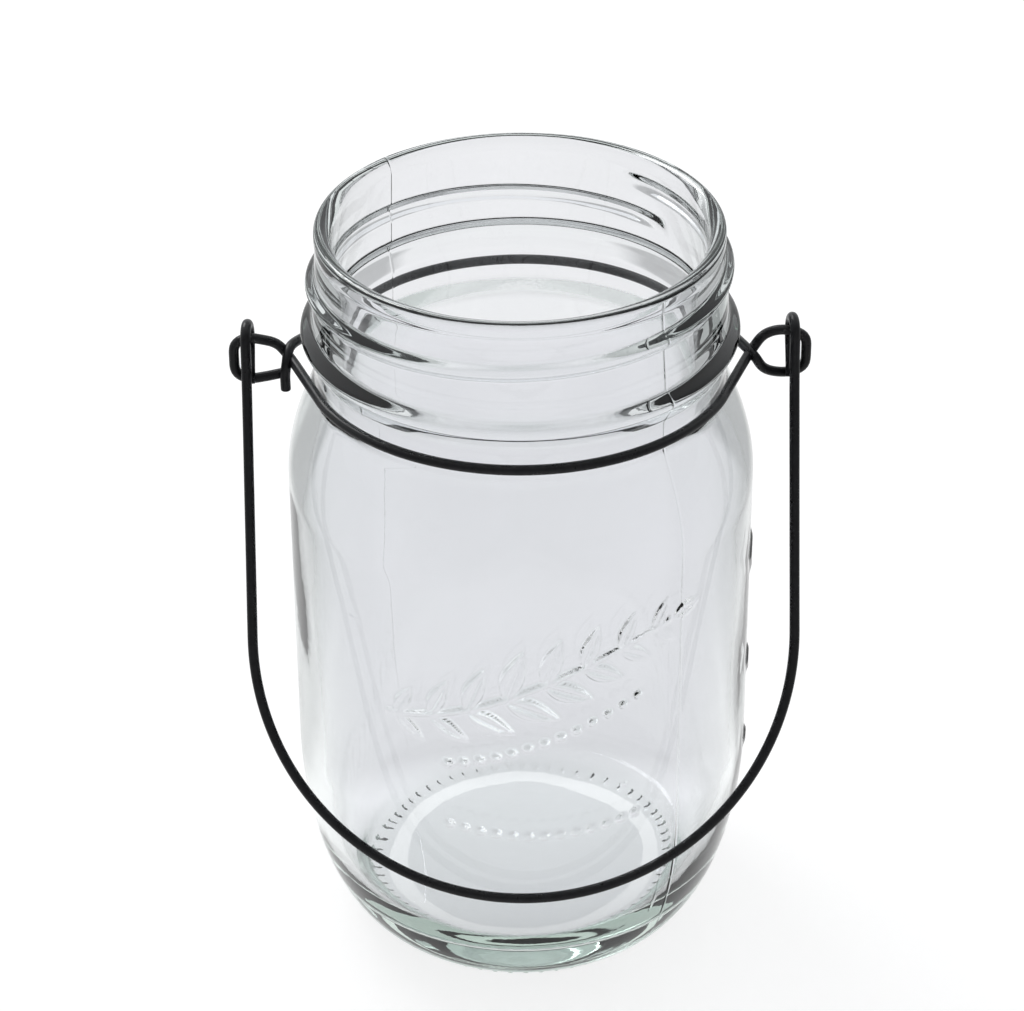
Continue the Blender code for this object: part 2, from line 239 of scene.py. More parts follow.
def finish_points():
    """Corners (z, r) of the neck groove, the bead and the wall that carries the thread."""
    bead = [(z, r) for r, z in arc(BEAD_RADIUS - BEAD_ROUNDING, BEAD_Z, BEAD_ROUNDING, -55, 55, 8)]
    wall_base = BEAD_Z + BEAD_ROUNDING + BEAD_SLOPE
    wall_radius = (BEAD_RADIUS + LIP_RADIUS) / 2 - BEAD_ROUNDING / 2
    return [
        (SHOULDER_TOP, NECK_RADIUS),
        (BEAD_Z - BEAD_ROUNDING - BEAD_UNDERCUT, NECK_RADIUS),
        *bead,
        (wall_base, wall_radius),
        (JAR_HEIGHT - LIP_ROLL_HEIGHT - 2 * EDGE_SOFTNESS, LIP_RADIUS - LIP_ROLL),
        (JAR_HEIGHT - LIP_ROLL_HEIGHT, LIP_RADIUS),
        (JAR_HEIGHT, LIP_RADIUS),
    ]


def outside_table():
    """The outside radius against height, with its moulded edges softened."""
    step = EDGE_SOFTNESS / 4
    z = np.arange(0.0, JAR_HEIGHT, step)
    corners = np.array(finish_points())
    r = np.where(
        z < SHOULDER_TOP,
        np.where(z < SHOULDER_BASE, straight_side_radius(z),
                 shoulder_radius(z, SHOULDER_BASE, SHOULDER_TOP, BODY_RADIUS, NECK_RADIUS)),
        np.interp(z, corners[:, 0], corners[:, 1]),
    )
    reach = 12
    weights = np.exp(-0.5 * (np.arange(-reach, reach + 1) * step / EDGE_SOFTNESS) ** 2)
    weights /= weights.sum()
    soft = np.convolve(np.pad(r, reach, mode="edge"), weights, mode="valid")
    blend = smoothstep(HEEL_HEIGHT, HEEL_HEIGHT + 5 * MM, z)
    return z, r * (1 - blend) + soft * blend


def inside_radius(z):
    """Inside radius at each height, from the curved edge of the floor to the mouth."""
    body = BODY_RADIUS - SIDE_WALL
    neck = NECK_RADIUS - SIDE_WALL
    low = shoulder_radius(z, SHOULDER_BASE - SIDE_WALL, SHOULDER_TOP - SIDE_WALL, body, neck)
    top = INNER_HEEL_HEIGHT + FLOOR_THICKNESS
    share = np.clip((top - z) / INNER_HEEL_HEIGHT, 0.0, 1.0)
    heel = INNER_FLOOR_RADIUS + (body - INNER_FLOOR_RADIUS) * np.sqrt(1 - share * share)
    neck_share = smoothstep(SHOULDER_TOP - SIDE_WALL, BEAD_Z, z)
    return np.minimum(heel, low) * (1 - neck_share) + MOUTH_RADIUS * neck_share


def thread_rise(angle, z):
    """How far the screw thread stands out of the finish."""
    rise = np.zeros(np.broadcast(angle, z).shape)
    for turn in (0, 1):
        along = (angle - THREAD_START_ANGLE) % TURN + TURN * turn
        ridge_z = JAR_HEIGHT - THREAD_START_TO_RIM + THREAD_PITCH * along / TURN
        across = np.minimum(np.abs(z - ridge_z) / THREAD_HALF_WIDTH, 1.0)
        ends = np.clip(np.minimum(along, THREAD_SWEEP - along) / THREAD_RUN_OUT, 0.0, 1.0)
        rise = np.maximum(rise, np.sin(math.pi / 2 * ends) * np.cos(math.pi / 2 * across) ** 1.3)
    return THREAD_HEIGHT * rise


def waves(angle, z, phase):
    """Slow unevenness of pressed glass, between about -1 and 1."""
    up = z / MM
    return (
        0.4 * np.sin(3 * angle + up / 17.0 + phase)
        + 0.3 * np.sin(5 * angle - up / 9.0 + 2.1 * phase)
        + 0.2 * np.sin(11 * angle + up / 23.0 + 0.7 * phase)
        + 0.1 * np.sin(17 * angle + up / 6.0 + 1.3 * phase)
    )


def stem_z(s):
    """Height of the sprig's stem at a distance s along the front."""
    share = s / (30 * MM)
    return (68.5 + 7.5 * share + 2.4 * np.sin(2.4 * share)) * MM


def leaf(s, z, root, heading, length, width):
    """Raised leaf with a sunk midrib, between 0 and 1."""
    along = ((s - root[0]) * math.cos(heading) + (z - root[1]) * math.sin(heading)) / length
    across = (z - root[1]) * math.cos(heading) - (s - root[0]) * math.sin(heading)
    half = width / 2 * np.sin(math.pi * np.clip(along, 0.0, 1.0) ** 0.8)
    plate = smoothstep(0.0, 0.45 * MM, half - np.abs(across))
    rib = np.exp(-(across / (0.28 * MM)) ** 2) * smoothstep(1.0, 0.75, along)
    return plate * (1 - 0.75 * rib)


def pearl(s, z, place, radius):
    """Raised round bead, between 0 and 1."""
    away = ((s - place[0]) ** 2 + (z - place[1]) ** 2) / radius ** 2
    return np.sqrt(np.clip(1 - away, 0.0, 1.0))


def sprig(s, z):
    """A leafy sprig that rises to the right across the front, between 0 and 1."""
    start, end = SPRIG_START, SPRIG_END
    half = STEM_HALF_WIDTH
    away = np.abs(z - stem_z(s)) * math.cos(STEM_SLOPE)
    on_stem = smoothstep(start, start + MM, s) * smoothstep(end, end - MM, s)
    height = smoothstep(half + 0.3 * MM, half - 0.2 * MM, away) * on_stem
    for k in range(LEAF_PAIRS):
        root_s = start + (end - start) * (k + 0.35) / LEAF_PAIRS
        root = (root_s, float(stem_z(np.float64(root_s))))
        rise = math.atan2(float(stem_z(np.float64(root_s + MM))) - root[1], MM)
        size = 1.0 - 0.35 * abs(2 * k / (LEAF_PAIRS - 1) - 0.9)
        for side in (-1, 1):
            heading = rise + side * LEAF_SPREAD
            one = leaf(s, z, root, heading, LEAF_LENGTH * size, LEAF_WIDTH * size)
            height = np.maximum(height, one)
    tip = (end, float(stem_z(np.float64(end))))
    height = np.maximum(height, leaf(s, z, tip, rise, TIP_LENGTH, TIP_WIDTH))
    return height * (1 - SPRIG_FADE * smoothstep(SPRIG_FADE_FROM, SPRIG_FADE_TO, np.abs(s)))


def bead_rows(s, z):
    """Two rows of small beads below the sprig."""
    height = np.zeros(s.shape)
    for k in range(BEADS_PER_ROW):
        share = k / (BEADS_PER_ROW - 1)
        along = (BEAD_ROW_START + BEAD_ROW_LENGTH * share) * MM
        upper = (along, (53.0 + 11.5 * share ** 1.2) * MM)
        lower = (along, (40.5 - 1.5 * math.sin(math.pi * share)) * MM)
        height = np.maximum(height, UPPER_BEAD_HEIGHT * pearl(s, z, upper, UPPER_BEAD_RADIUS))
        height = np.maximum(height, LOWER_BEAD_HEIGHT * pearl(s, z, lower, LOWER_BEAD_RADIUS))
    return height


def side_pads(angle, z):
    """Three raised lozenges one above another on the right-hand side."""
    height = np.zeros(angle.shape)
    s = angle_from(angle, PAD_DEG) * BODY_RADIUS
    for middle, tall, wide in PADS_MM:
        inside = 1 - np.abs(s) / (wide * MM) - np.abs(z - middle * MM) / (tall * MM)
        height = np.maximum(height, PAD_HEIGHT * smoothstep(0.0, 0.45, inside))
    return height


def blisters(s, z):
    """Small round marks of trapped air close under the surface."""
    height = np.zeros(s.shape)
    for place_s, place_z, size in BLISTERS_MM:
        away = (s - place_s * MM) ** 2 + (z - place_z * MM) ** 2
        height += np.exp(-away / (size * MM) ** 2)
    return height


def outside_rise(angle, z):
    """Everything that stands proud of the turned outside."""
    s = angle_from(angle, FRONT_DEG) * BODY_RADIUS
    rise = OUTSIDE_WAVES * waves(angle, z, 0.4)
    front = np.maximum(sprig(s, z), bead_rows(s, z))
    rise += ORNAMENT_HEIGHT * np.maximum(front, side_pads(angle, z))
    rise += BLISTER_HEIGHT * blisters(s, z)
    seam_height = SEAM_HEIGHT * smoothstep(6 * MM, 14 * MM, z)
    for seam in SEAM_ANGLES_DEG:
        away = angle_from(angle, seam) * BODY_RADIUS / SEAM_HALF_WIDTH
        rise += seam_height * np.exp(-away * away)
    return rise + thread_rise(angle, z)


def knurl(angle, r):
    """Short radial bars round the underside of the heel, between 0 and 1."""
    middle = (KNURL_INNER + KNURL_OUTER) / 2
    along = 1 - abs(r - middle) / ((KNURL_OUTER - KNURL_INNER) / 2)
    return smoothstep(0.1, 0.9, np.cos(KNURL_COUNT * angle)) * float(smoothstep(0.0, 0.5, along))


def ring_step(z):
    """How far up the next ring is: close where the glass is decorated or threaded."""
    return next(step for top, step in RING_STEPS_MM if z / MM < top) * MM


def jar_rings():
    """Every ring of the jar, from the middle of the base over the lip down to the inside floor.

    A ring is (radii, heights, angles, shift): arrays along its columns, and the shift of its
    middle to +X.
    """
    rings = []
    foot_inner = FOOT_RADIUS - FOOT_WIDTH
    few = columns(FEW_DEG)
    knurled = columns(360 / (KNURL_COUNT * KNURL_COLUMNS))
    plain = columns(PLAIN_DEG)
    seams = [(seam, *SEAM_FINE) for seam in SEAM_ANGLES_DEG]
    body = columns(BODY_DEG, [FRONT_FINE, PAD_FINE] + seams)
    neck = columns(NECK_DEG, seams)
    smooth = columns(SMOOTH_DEG)

    def add(r, z, angles, shift=0.0):
        radii = np.broadcast_to(r, angles.shape).astype(float)
        heights = np.broadcast_to(z, angles.shape).astype(float)
        rings.append((radii, heights, angles, shift))

    for r in np.linspace(2 * MM, foot_inner * 0.55, 4):
        add(r, PUSH_UP * (1 - (r / foot_inner) ** 2) ** 2, few)
    for r in np.linspace(foot_inner * 0.65, foot_inner - 0.8 * MM, 6):
        add(r, PUSH_UP * (1 - (r / foot_inner) ** 2) ** 2, plain)
    for share in (0.0, 0.5, 1.0):
        add(foot_inner + FOOT_WIDTH * share, 0.0, plain)
    for r in np.linspace(FOOT_RADIUS + 0.3 * MM, KNURL_OUTER + 0.3 * MM, 14):
        turn = math.asin((r - FOOT_RADIUS) / (BODY_RADIUS - FOOT_RADIUS))
        z = HEEL_HEIGHT * (1 - math.cos(turn))
        bars = KNURL_HEIGHT * knurl(knurled, r)
        add(r + bars * math.sin(turn), np.maximum(z - bars * math.cos(turn), 0.02 * MM), knurled)
    for turn in np.radians(np.arange(*HEEL_TURNS_DEG)):
        z = HEEL_HEIGHT * (1 - math.cos(turn))
        add(float(straight_side_radius(np.float64(z))), z, plain)

    table_z, table_r = outside_table()
    lip_z = JAR_HEIGHT - LIP_OUTER_ROUNDING
    inner_lip_z = JAR_HEIGHT - LIP_INNER_ROUNDING[1]
    heights = [HEEL_HEIGHT * (1 - math.cos(math.radians(BODY_START_DEG)))]
    while heights[-1] < lip_z - 0.35 * MM:
        heights.append(heights[-1] + ring_step(heights[-1]))
    for z in heights:
        grid = body if z < SHOULDER_TOP + 2 * MM else neck
        r = float(np.interp(z, table_z, table_r))
        add(r + outside_rise(grid, np.full(grid.shape, z)), z, grid)

    crown = arc(LIP_RADIUS - LIP_OUTER_ROUNDING, lip_z, LIP_OUTER_ROUNDING, 0, 90, 8)
    across, down = LIP_INNER_ROUNDING
    for turn in np.radians(np.linspace(90, 180, 13)):
        r = MOUTH_RADIUS + across * (1 + math.cos(turn))
        crown.append((r, inner_lip_z + down * math.sin(turn)))
    for r, z in crown:
        add(r, z + LIP_WAVES * waves(neck, np.full(neck.shape, z), 1.9), neck)

    inner_top = inner_lip_z - 0.6 * MM
    bend_share = 1 - math.cos(math.radians(INSIDE_END_DEG))
    inner_low = FLOOR_THICKNESS + INNER_HEEL_HEIGHT * bend_share
    for z in np.linspace(inner_top, inner_low, INSIDE_RINGS):
        window = smoothstep(inner_low, 34 * MM, z) * smoothstep(SHOULDER_TOP, SHOULDER_BASE, z)
        uneven = INSIDE_WAVES * float(smoothstep(JAR_HEIGHT, BEAD_Z, z))
        r = float(inside_radius(np.float64(z)))
        shift = WALL_SHIFT * float(window)
        add(r + uneven * waves(smooth, np.full(smooth.shape, z), 5.0), z, smooth, shift)
    body_inner = BODY_RADIUS - SIDE_WALL
    for turn in np.radians(np.arange(*FLOOR_BEND_DEG)):
        z = FLOOR_THICKNESS + INNER_HEEL_HEIGHT * (1 - math.cos(turn))
        add(INNER_FLOOR_RADIUS + (body_inner - INNER_FLOOR_RADIUS) * math.sin(turn), z, plain)
    for r in np.linspace(INNER_FLOOR_RADIUS, 2 * MM, 12):
        dome = PUSH_UP * (1 - (r / INNER_FLOOR_RADIUS) ** 2) ** 2
        add(r, FLOOR_THICKNESS + dome, plain if r > 10 * MM else few)
    return rings


def build_jar():
    rings = jar_rings()
    points = [np.array([[0.0, 0.0, PUSH_UP]])]
    faces = []
    start = 1
    indices = []
    for radii, heights, angles, shift in rings:
        ring = np.stack([radii * np.cos(angles) + shift, radii * np.sin(angles), heights], axis=1)
        points.append(ring)
        indices.append(list(range(start, start + len(angles))))
        start += len(angles)
    points.append(np.array([[0.0, 0.0, FLOOR_THICKNESS + PUSH_UP]]))
    first, last = indices[0], indices[-1]
    faces += [(0, first[(k + 1) % len(first)], first[k]) for k in range(len(first))]
    for low, high, low_ring, high_ring in zip(indices, indices[1:], rings, rings[1:]):
        stitch(faces, low, low_ring[2], high, high_ring[2])
    faces += [(last[k], last[(k + 1) % len(last)], start) for k in range(len(last))]
    mesh = bpy.data.meshes.new("clear_glass_jar")
    mesh.from_pydata(np.concatenate(points).tolist(), [], faces)
    mesh.validate()
    mesh.shade_smooth()
    jar = bpy.data.objects.new("clear_glass_jar", mesh)
    bpy.context.scene.collection.objects.link(jar)
    return jar


# ================================================================ the wires
def smooth_route(points):
    """Centripetal Catmull-Rom curve through the points, in short steps."""
    first = points[0] * 2 - points[1]
    last = points[-1] * 2 - points[-2]
    padded = [first] + points + [last]
    route = [points[0]]
    for a, b, c, d in zip(padded, padded[1:], padded[2:], padded[3:]):
        ta = 0.0
        tb = ta + math.sqrt((b - a).length)
        tc = tb + math.sqrt((c - b).length)
        td = tc + math.sqrt((d - c).length)
        steps = max(1, math.ceil((c - b).length / ROUTE_STEP))
        for i in range(1, steps + 1):
            t = tb + (tc - tb) * i / steps
            ab = a.lerp(b, (t - ta) / (tb - ta))
            bc = b.lerp(c, (t - tb) / (tc - tb))
            cd = c.lerp(d, (t - tc) / (td - tc))
            abc = ab.lerp(bc, (t - ta) / (tc - ta))
            bcd = bc.lerp(cd, (t - tb) / (td - tb))
            route.append(abc.lerp(bcd, (t - tb) / (tc - tb)))
    return route


def even_steps(route, step):
    """The same route with its points about one step apart."""
    places = np.array([tuple(p) for p in route])
    lengths = np.concatenate([[0.0], np.cumsum(np.linalg.norm(np.diff(places, axis=0), axis=1))])
    count = math.ceil(lengths[-1] / step) + 1
    at = np.linspace(0.0, lengths[-1], count)
    return np.stack([np.interp(at, lengths, places[:, i]) for i in range(3)], axis=1)


def soften(places, rounds):
    """Round off the last small corners of a route, with its ends kept."""
    for _ in range(rounds):
        places[1:-1] = places[1:-1] / 2 + (places[:-2] + places[2:]) / 4
    return places


def build_wire(name, route):
    """Round wire along a route, with cut ends whose edges are broken."""
    places = soften(even_steps(route, TUBE_STEP), 2)
    tangents = np.gradient(places, axis=0)
    tangents /= np.linalg.norm(tangents, axis=1)[:, None]
    side = Vector(tangents[0]).orthogonal().normalized()
    rows = []
    turns = np.arange(TUBE_SIDES) * TURN / TUBE_SIDES
    lengths = np.concatenate([[0.0], np.cumsum(np.linalg.norm(np.diff(places, axis=0), axis=1))])
    for place, tangent, along in zip(places, tangents, lengths):
        forward = Vector(tangent)
        side = (side - forward * side.dot(forward)).normalized()
        other = forward.cross(side)
        uneven = sum(size * math.sin(along / over) for size, over in WIRE_WAVES)
        radius = WIRE_RADIUS * (1 + uneven)
        across = np.outer(np.cos(turns), side) + np.outer(np.sin(turns), other)
        rows.append((np.array(place), across, radius, tangent))
    first, last = rows[0], rows[-1]

    def cap(row, outward):
        place, across, radius, tangent = row
        out = np.array(tangent) * outward
        rings = []
        for share in (0.5, 0.87, 1.0):
            inset = END_CHAMFER * (1 - math.sqrt(1 - share ** 2))
            rings.append((place + out * END_CHAMFER * share, across, radius - inset, tangent))
        return rings

    rows = list(reversed(cap(first, -1))) + rows + cap(last, 1)
    points = [place + across * radius for place, across, radius, _ in rows]
    ends = [points[0].mean(axis=0)[None, :], points[-1].mean(axis=0)[None, :]]
    n = TUBE_SIDES
    faces = []
    for r in range(len(rows) - 1):
        for k in range(n):
            m = (k + 1) % n
            faces.append((r * n + k, r * n + m, (r + 1) * n + m, (r + 1) * n + k))
    tail, head = len(rows) * n, len(rows) * n + 1
    top = (len(rows) - 1) * n
    faces += [(tail, (k + 1) % n, k) for k in range(n)]
    faces += [(head, top + k, top + (k + 1) % n) for k in range(n)]
    mesh = bpy.data.meshes.new(name)
    mesh.from_pydata(np.concatenate(points + ends).tolist(), [], faces)
    mesh.validate()
    mesh.shade_smooth()
    mesh.set_sharp_from_angle(angle=math.radians(50))
    wire = bpy.data.objects.new(name, mesh)
    bpy.context.scene.collection.objects.link(wire)
    return wire


def ring_arc(start_deg, end_deg):
    """Points of the collar's ring between two angles from +X."""
    steps = max(2, round(abs(end_deg - start_deg) / 10))
    points = []
    for i in range(steps + 1):
        angle = math.radians(start_deg + (end_deg - start_deg) * i / steps)
        across, ahead = RING_RADIUS * math.cos(angle), RING_RADIUS * math.sin(angle)
        points.append(Vector((across, ahead, RING_Z)))
    return points


def loop_points(side, closing):
    """Side loop, from its upper strand over the far side to its lower strand."""
    behind = STRAND_SPACING / 2
    low_y = behind if closing else -behind
    corner = LOOP_REACH * 0.88
    half = LOOP_HALF_HEIGHT
    rise = 0.85 if closing else 1.0
    points = [
        (-LOOP_DEPTH, behind, half * 0.05),
        (-LOOP_DEPTH * 0.75, behind * 0.8, half * 0.7 * rise),
        (-LOOP_DEPTH * 0.4, behind * 0.3, half * 1.02 * rise),
        (0.0, 0.0, half),
        (corner, 0.0, half * 0.7),
        (LOOP_REACH, 0.0, 0.0),
        (corner, 0.0, -half * 0.7),
        (0.0, 0.0, -half),
        (-LOOP_DEPTH * 0.4, low_y * 0.3, -half * 0.98),
    ]
    if closing:
        points += [(-LOOP_DEPTH * 0.86, low_y * 0.9, -half * 0.9)]
    else:
        points += [
            (-LOOP_DEPTH * 0.75, low_y * 0.8, -half * 0.7),
            (-LOOP_DEPTH, low_y, -half * 0.05),
        ]
    return [Vector((side * (LEG_X + x), y, LOOP_Z + z)) for x, y, z in points]


def collar_route():
    """One wire: closing tail, back of the ring, right loop, front of the ring, left loop."""
    leave = COLLAR_HUG * math.degrees(math.acos(RING_RADIUS / CROSSING_X))
    in_front = -STRAND_SPACING / 2 - WIRE_GAP / 2
    crossing_z = LOOP_Z + WIRE_GAP
    tail = [
        Vector((-CROSSING_X - WIRE_GAP, in_front, crossing_z - TAIL_LENGTH)),
        Vector((-CROSSING_X - WIRE_GAP, in_front, crossing_z - TAIL_LENGTH / 2)),
        Vector((-CROSSING_X, in_front, crossing_z - WIRE_RADIUS)),
        Vector((-CROSSING_X + WIRE_RADIUS / 2, -in_front, crossing_z + WIRE_RADIUS)),
    ]
    back = ring_arc(180 - leave, leave)
    front = ring_arc(-leave, leave - 180)
    lower_to_back = list(reversed(loop_points(1, closing=False)))
    return smooth_route(tail + back + lower_to_back + front + loop_points(-1, closing=True))


def handle_pose():
    """Lean and length of the resting handle, and how its legs and eye ends lie round its pivot."""
    glass_y = float(straight_side_radius(np.float64(HANDLE_REST_HEIGHT)))
    rest_y = glass_y + HANDLE_REST_GAP + WIRE_RADIUS
    drop = PIVOT_Z - HANDLE_REST_HEIGHT
    reach = math.hypot(rest_y, drop)
    low_strand_behind = 2 * LOOP_HALF_HEIGHT * rest_y / reach
    end_behind = low_strand_behind - 2 * WIRE_RADIUS - EYE_TAIL_GAP
    leg_in_front = STRAND_SPACING - end_behind
    lean = math.atan2(rest_y, drop) - math.asin(leg_in_front / reach)
    length = math.sqrt(reach * reach - leg_in_front * leg_in_front)
    return lean, length, leg_in_front, end_behind


def handle_route():
    """One wire: left eye, left leg, round bottom, right leg, right eye."""
    lean, length, leg_in_front, end_behind = handle_pose()
    down = Vector((0, -math.sin(lean), -math.cos(lean)))
    back = Vector((0, math.cos(lean), -math.sin(lean)))
    pivot = Vector((0, 0, PIVOT_Z))

    def place(x, along, across):
        return pivot + Vector((x, 0, 0)) + down * along + back * across

    points = []
    for side in (-1, 1):
        eye = [
            place(side * (LEG_X - EYE_TWIST), EYE_LENGTH, end_behind),
            place(side * (LEG_X - EYE_TWIST), EYE_LENGTH * 0.6, end_behind + EYE_RADIUS * 0.2),
        ]
        for degrees in range(90, -91, -30):
            turn = math.radians(degrees)
            x = LEG_X - EYE_TWIST * (1 + math.sin(turn)) / 2
            eye.append(place(side * x, -EYE_RADIUS * math.cos(turn), EYE_RADIUS * math.sin(turn)))
        eye.append(place(side * LEG_X, EYE_LENGTH * 0.6, -leg_in_front - EYE_RADIUS * 0.25))
        eye.append(place(side * LEG_X, EYE_LENGTH * 1.3, -leg_in_front))
        points.append(eye)
    left, right = points
    bend_start = length - LEG_X
    arch_steps = 120
    arch = []
    for i in range(arch_steps + 1):
        turn = math.pi * (i / arch_steps - 0.5)
        along = bend_start + LEG_X * math.cos(turn)
        arch.append(place(LEG_X * math.sin(turn), along, -leg_in_front))
    return smooth_route(left) + arch + list(reversed(smooth_route(right)))


# ================================================================ materials
# A Mix node keeps its colours and its plain values in sockets that share their names.
MIX_COLOR_A, MIX_COLOR_B, MIX_COLOR_OUT = 6, 7, 2
MIX_VALUE_A, MIX_VALUE_B, MIX_VALUE_OUT = 2, 3, 0

GLASS_IOR = 1.52
GLASS_TINTS = ((0.945, 0.943, 0.965), (0.957, 0.953, 0.980))
# Painted shade: the glass colour turns darker grey-green at its edges, where the surface turns
# away.
GLASS_EDGE_PAINTED_SHADE = (0.88, 0.90, 0.89, 1.0)
GLASS_EDGE_SHADE_FROM = 0.45            # how far the surface turns away before the painted edge shade comes in
GLASS_SMEAR_ROUGHNESS = 0.06
GLASS_BODY_TINT = (0.76, 0.83, 0.79, 1.0)
GLASS_BODY_DENSITY = 42.0

ENAMEL_BLACKS = ((0.004, 0.004, 0.005), (0.013, 0.013, 0.015))
ENAMEL_ROUGHNESS = (0.24, 0.36)
ENAMEL_SPECULAR = 0.3
BARE_STEEL = (0.16, 0.155, 0.15, 1.0)
BARE_METALLIC = 0.7
COLLAR_RUB_RADIUS = 2.6 * MM
HANDLE_RUB_RADIUS = 3.0 * MM

PAPER_TONES = ((0.29, 0.29, 0.29), (0.31, 0.31, 0.31))
PAPER_ROUGHNESS = 0.95
PAPER_GLOW = 0.785                # as the camera sees it
GLOW_HALF_WIDTH = (95 * MM, 140 * MM)                 # full strength inside, faint outside: the glow fades to the sides as painted shade for the glass's edges
GLOW_FAINT = 0.4
GLOW_Y = (-200 * MM, 300 * MM)    # where the stops below begin and end
GLOW_AND_SHADE_STOPS = (                    # the paper's strength as seen through the glass: painted light and shade, a bright pool under the jar, a darker band near its back as a painted shadow of the jar, and dim paper in front
    (0.0, (0.40, 0.40, 0.40)),
    (0.31, (0.42, 0.42, 0.42)),
    (0.38, (0.72, 0.72, 0.72)),
    (0.44, (0.88, 0.88, 0.88)),
    (0.47, (0.60, 0.60, 0.61)),
    (0.54, (0.64, 0.64, 0.65)),
    (0.68, (0.62, 0.62, 0.63)),
    (0.84, (0.65, 0.65, 0.66)),
)


class Nodes:
    """Short hand for building one material's node tree."""

    def __init__(self, name):
        self.material = bpy.data.materials.new(name)
        self.material.use_nodes = True
        self.tree = self.material.node_tree
        self.shader = self.tree.nodes["Principled BSDF"]
        self.output = self.tree.nodes["Material Output"]
        self.position = self.add("ShaderNodeTexCoord").outputs["Object"]

    def add(self, kind, **settings):
        node = self.tree.nodes.new(kind)
        for key, value in settings.items():
            setattr(node, key, value)
        return node

    def link(self, source, target):
        self.tree.links.new(source, target)

    def noise(self, scale, detail=3.0, roughness=0.5, stretch=None):
        """Noise with its scale in cells per metre."""
        node = self.add("ShaderNodeTexNoise")
        node.inputs["Scale"].default_value = scale
        node.inputs["Detail"].default_value = detail
        node.inputs["Roughness"].default_value = roughness
        source = self.position
        if stretch is not None:
            mapping = self.add("ShaderNodeMapping")
            mapping.inputs["Scale"].default_value = stretch
            self.link(self.position, mapping.inputs["Vector"])
            source = mapping.outputs["Vector"]
        self.link(source, node.inputs["Vector"])
        return node.outputs["Fac"]

    def spread(self, value, low, high, out_low, out_high):
        """The value from low to high, stretched to out_low to out_high and clamped."""
        node = self.add("ShaderNodeMapRange")
        sockets = ("From Min", "From Max", "To Min", "To Max")
        for socket, number in zip(sockets, (low, high, out_low, out_high)):
            node.inputs[socket].default_value = number
        self.link(value, node.inputs["Value"])
        return node.outputs["Result"]

    def ramp(self, value, stops):
        """Colour for a value, through (position, colour) stops."""
        node = self.add("ShaderNodeValToRGB")
        elements = node.color_ramp.elements
        while len(elements) < len(stops):
            elements.new(0.5)
        for element, (position, color) in zip(elements, stops):
            element.position = position
            element.color = (*color, 1.0)
        self.link(value, node.inputs["Fac"])
        return node.outputs["Color"]

    def mix(self, factor, color, fixed):
        """From a linked colour at 0 to a fixed one at 1."""
        node = self.add("ShaderNodeMix", data_type="RGBA")
        self.link(factor, node.inputs["Factor"])
        self.link(color, node.inputs[MIX_COLOR_A])
        node.inputs[MIX_COLOR_B].default_value = fixed
        return node.outputs[MIX_COLOR_OUT]

    def product(self, first, second):
        node = self.add("ShaderNodeMath", operation="MULTIPLY")
        self.link(first, node.inputs[0])
        self.link(second, node.inputs[1])
        return node.outputs[0]

    def position_parts(self):
        """X, mirrored so that left and right count alike, then Y and Z."""
        split = self.add("ShaderNodeSeparateXYZ")
        self.link(self.position, split.inputs[0])
        mirrored = self.add("ShaderNodeMath", operation="ABSOLUTE")
        self.link(split.outputs["X"], mirrored.inputs[0])
        return mirrored.outputs[0], split.outputs["Y"], split.outputs["Z"]

    def bump(self, height, strength, distance, under=None):
        node = self.add("ShaderNodeBump")
        node.inputs["Strength"].default_value = strength
        node.inputs["Distance"].default_value = distance
        self.link(height, node.inputs["Height"])
        if under is not None:
            self.link(under, node.inputs["Normal"])
        return node.outputs["Normal"]


def glass_material():
    """Clear pressed glass: a faint tint that shows through its thickness, ripples and smears, and
    painted shade that darkens its colour where the surface turns away at its edges.
    """
    glass = Nodes("jar_glass_looks")
    shader = glass.shader
    shader.inputs["Transmission Weight"].default_value = 1.0
    shader.inputs["IOR"].default_value = GLASS_IOR
    tint = glass.ramp(glass.noise(28.0), list(zip((0.3, 0.7), GLASS_TINTS)))
    # Painted shade: the colour darkens towards the edge shade as the surface turns away from view.
    facing = glass.add("ShaderNodeLayerWeight").outputs["Facing"]
    edge = glass.spread(facing, GLASS_EDGE_SHADE_FROM, 1.0, 0.0, 1.0)
    glass.link(glass.mix(edge, tint, GLASS_EDGE_PAINTED_SHADE), shader.inputs["Base Color"])
    smears = glass.noise(90.0, detail=5.0, stretch=(1.0, 1.0, 0.35))
    smeared = glass.spread(smears, 0.5, 0.8, 0.0, GLASS_SMEAR_ROUGHNESS)
    glass.link(smeared, shader.inputs["Roughness"])
    ripples = glass.noise(55.0, detail=2.0, stretch=(1.0, 1.0, 0.45))
    rippled = glass.bump(ripples, 0.25, 0.5 * MM)
    orange_peel = glass.bump(glass.noise(420.0, detail=2.0), 0.05, 0.1 * MM, under=rippled)
    glass.link(orange_peel, shader.inputs["Normal"])
    body = glass.add("ShaderNodeVolumeAbsorption")
    body.inputs["Color"].default_value = GLASS_BODY_TINT
    body.inputs["Density"].default_value = GLASS_BODY_DENSITY
    glass.link(body.outputs["Volume"], glass.output.inputs["Volume"])
    return glass.material


